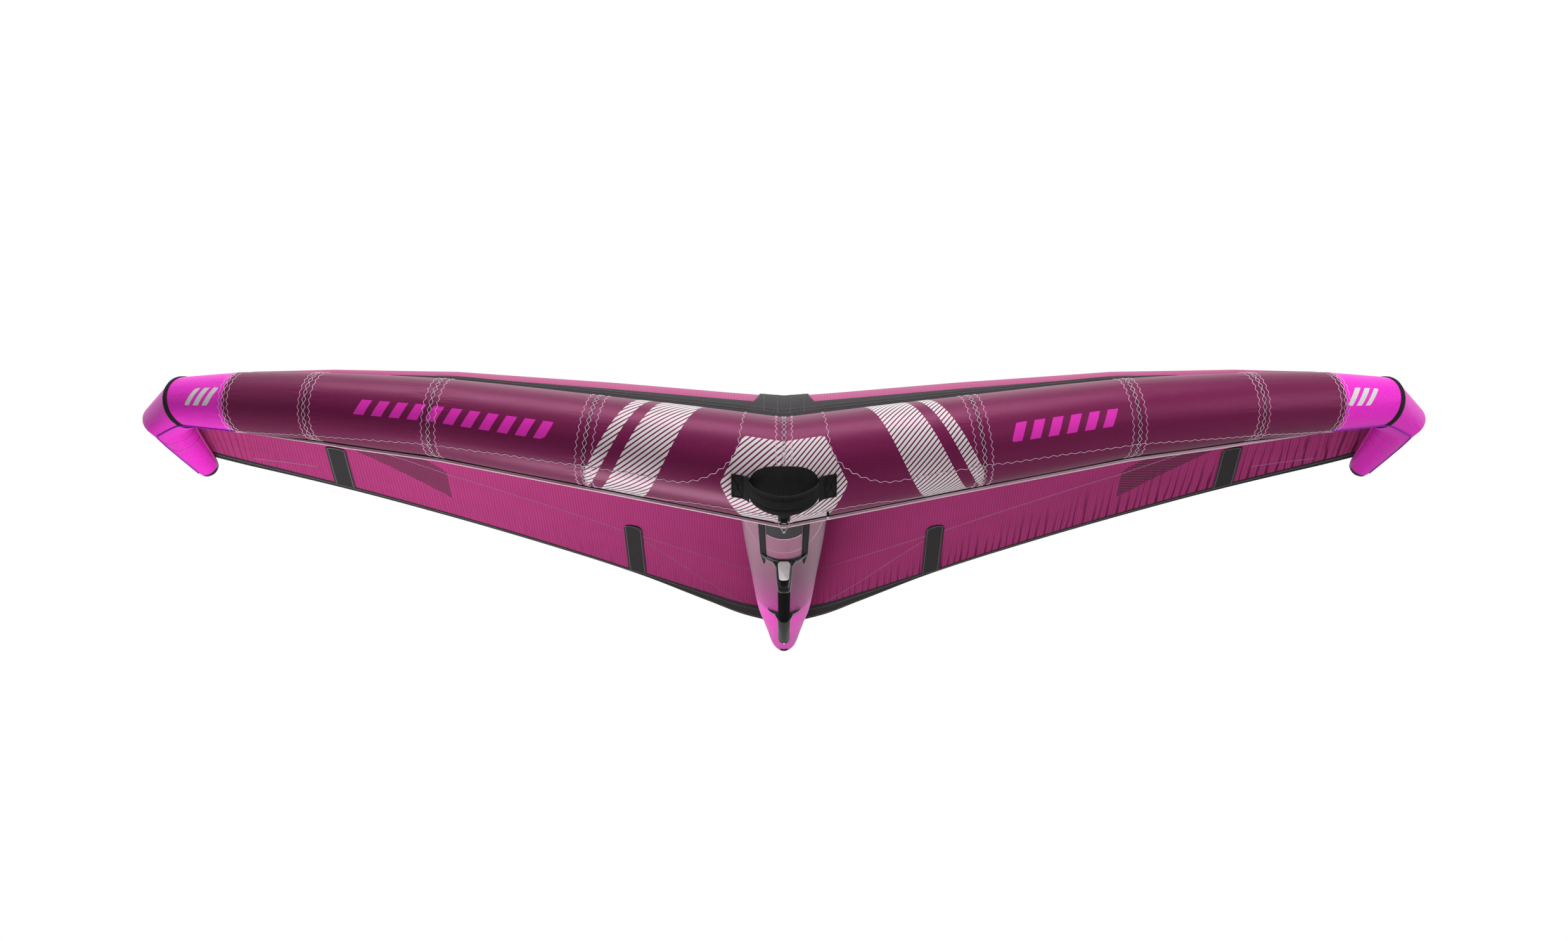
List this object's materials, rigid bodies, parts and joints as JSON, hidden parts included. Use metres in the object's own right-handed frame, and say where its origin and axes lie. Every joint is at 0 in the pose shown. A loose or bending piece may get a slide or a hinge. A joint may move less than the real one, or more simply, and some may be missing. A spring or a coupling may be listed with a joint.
{
  "type": "inflatable hand wing",
  "caption": "Swept inflatable hand wing: tapered leading-edge tube, centre strut with rigid boom, arched cloth canopy, curled tips and a padded front handle.",
  "frame": {"origin": "middle of the boom's foam grip, on the bar's middle line", "axes": "+X to the wing's right-hand tip, +Y along the strut from the nose to the trailing edge, +Z towards the outer side of the canopy"},
  "size_m": [3.4538, 2.4465, 0.5518],
  "materials": {
    "plum_cloth": "satin",
    "pink_cloth": "satin",
    "canopy_cloth": "satin",
    "strut_cloth": "satin",
    "black_cloth": "matte",
    "bladder_film": "gloss",
    "black_plastic": "satin",
    "grey_plastic": "satin",
    "grip_foam": "matte",
    "batten_glass": "satin",
    "steel": "satin",
    "grey_cord": "matte"
  },
  "bodies": {
    "wing": {"batten_inner_left": "batten_glass", "batten_inner_right": "batten_glass", "batten_outer_left": "batten_glass", "batten_outer_right": "batten_glass", "batten_pocket_inner_left": "black_cloth", "batten_pocket_inner_right": "black_cloth", "batten_pocket_outer_left": "black_cloth", "batten_pocket_outer_right": "black_cloth", "bend_band_left": "black_cloth", "bend_band_right": "black_cloth", "boom_bar": "black_plastic", "boom_front_foot": "black_plastic", "boom_grip": "grip_foam", "boom_rear_foot": "black_plastic", "boom_screw": "steel", "canopy_front_left": "canopy_cloth", "canopy_front_right": "canopy_cloth", "canopy_middle_left": "canopy_cloth", "canopy_middle_right": "canopy_cloth", "canopy_rear_left": "canopy_cloth", "canopy_rear_right": "canopy_cloth", "handle_anchor_left": "black_cloth", "handle_anchor_right": "black_cloth", "handle_backing": "black_cloth", "hose_clamp": "black_plastic", "inflation_hose": "bladder_film", "le_bladder": "bladder_film", "le_flange_left": "plum_cloth", "le_flange_right": "plum_cloth", "le_panel_left_1": "plum_cloth", "le_panel_left_2": "plum_cloth", "le_panel_left_3": "plum_cloth", "le_panel_left_4": "plum_cloth", "le_panel_right_1": "plum_cloth", "le_panel_right_2": "plum_cloth", "le_panel_right_3": "plum_cloth", "le_panel_right_4": "plum_cloth", "leash_tab": "black_cloth", "leg_cover": "grey_plastic", "nose_band": "black_cloth", "strut_bladder": "bladder_film", "strut_patch": "black_cloth", "strut_sleeve": "strut_cloth", "strut_strap_left": "black_cloth", "strut_strap_right": "black_cloth", "strut_web": "canopy_cloth", "tip_cap_left": "black_plastic", "tip_cap_right": "black_plastic", "tip_end_left": "pink_cloth", "tip_end_right": "pink_cloth", "tip_panel_left": "pink_cloth", "tip_panel_right": "pink_cloth", "trailing_hem_left": "black_cloth", "trailing_hem_right": "black_cloth", "valve_base": "black_plastic"},
    "front_handle": {"front_handle": "black_cloth"},
    "leash_loop": {"leash_loop": "grey_cord"},
    "valve_cap": {"valve_cap": "black_plastic"},
    "clamp_lever": {"clamp_lever": "black_plastic"},
    "pull_tab": {"pull_tab": "black_cloth"}
  },
  "joints": [
    {"name": "front_handle_swing", "type": "hinge", "parent": "wing", "child": "front_handle", "pos_m": [0, -0.82592, 0.10959], "axis": [1, 0, 0], "range_deg": [-12, 12], "stiffness_Nm_per_rad": 0.6},
    {"name": "leash_loop_swing", "type": "hinge", "parent": "wing", "child": "leash_loop", "pos_m": [0, -0.75152, 0.04531], "axis": [1, 0, 0], "range_deg": [-60, 60]},
    {"name": "valve_cap_hinge", "type": "hinge", "parent": "wing", "child": "valve_cap", "pos_m": [0.27131, -0.58979, 0.18325], "axis": [0.1899, -0.3629, -0.9123], "range_deg": [0, 140]},
    {"name": "clamp_lever_hinge", "type": "hinge", "parent": "wing", "child": "clamp_lever", "pos_m": [-0.16656, -0.48258, 0.26301], "axis": [-0.1344, -0.905, 0.4035], "range_deg": [0, 90]},
    {"name": "pull_tab_flip", "type": "hinge", "parent": "wing", "child": "pull_tab", "pos_m": [0.108, -0.74307, 0.07274], "axis": [1, 0, 0], "range_deg": [-45, 45]}
  ]
}
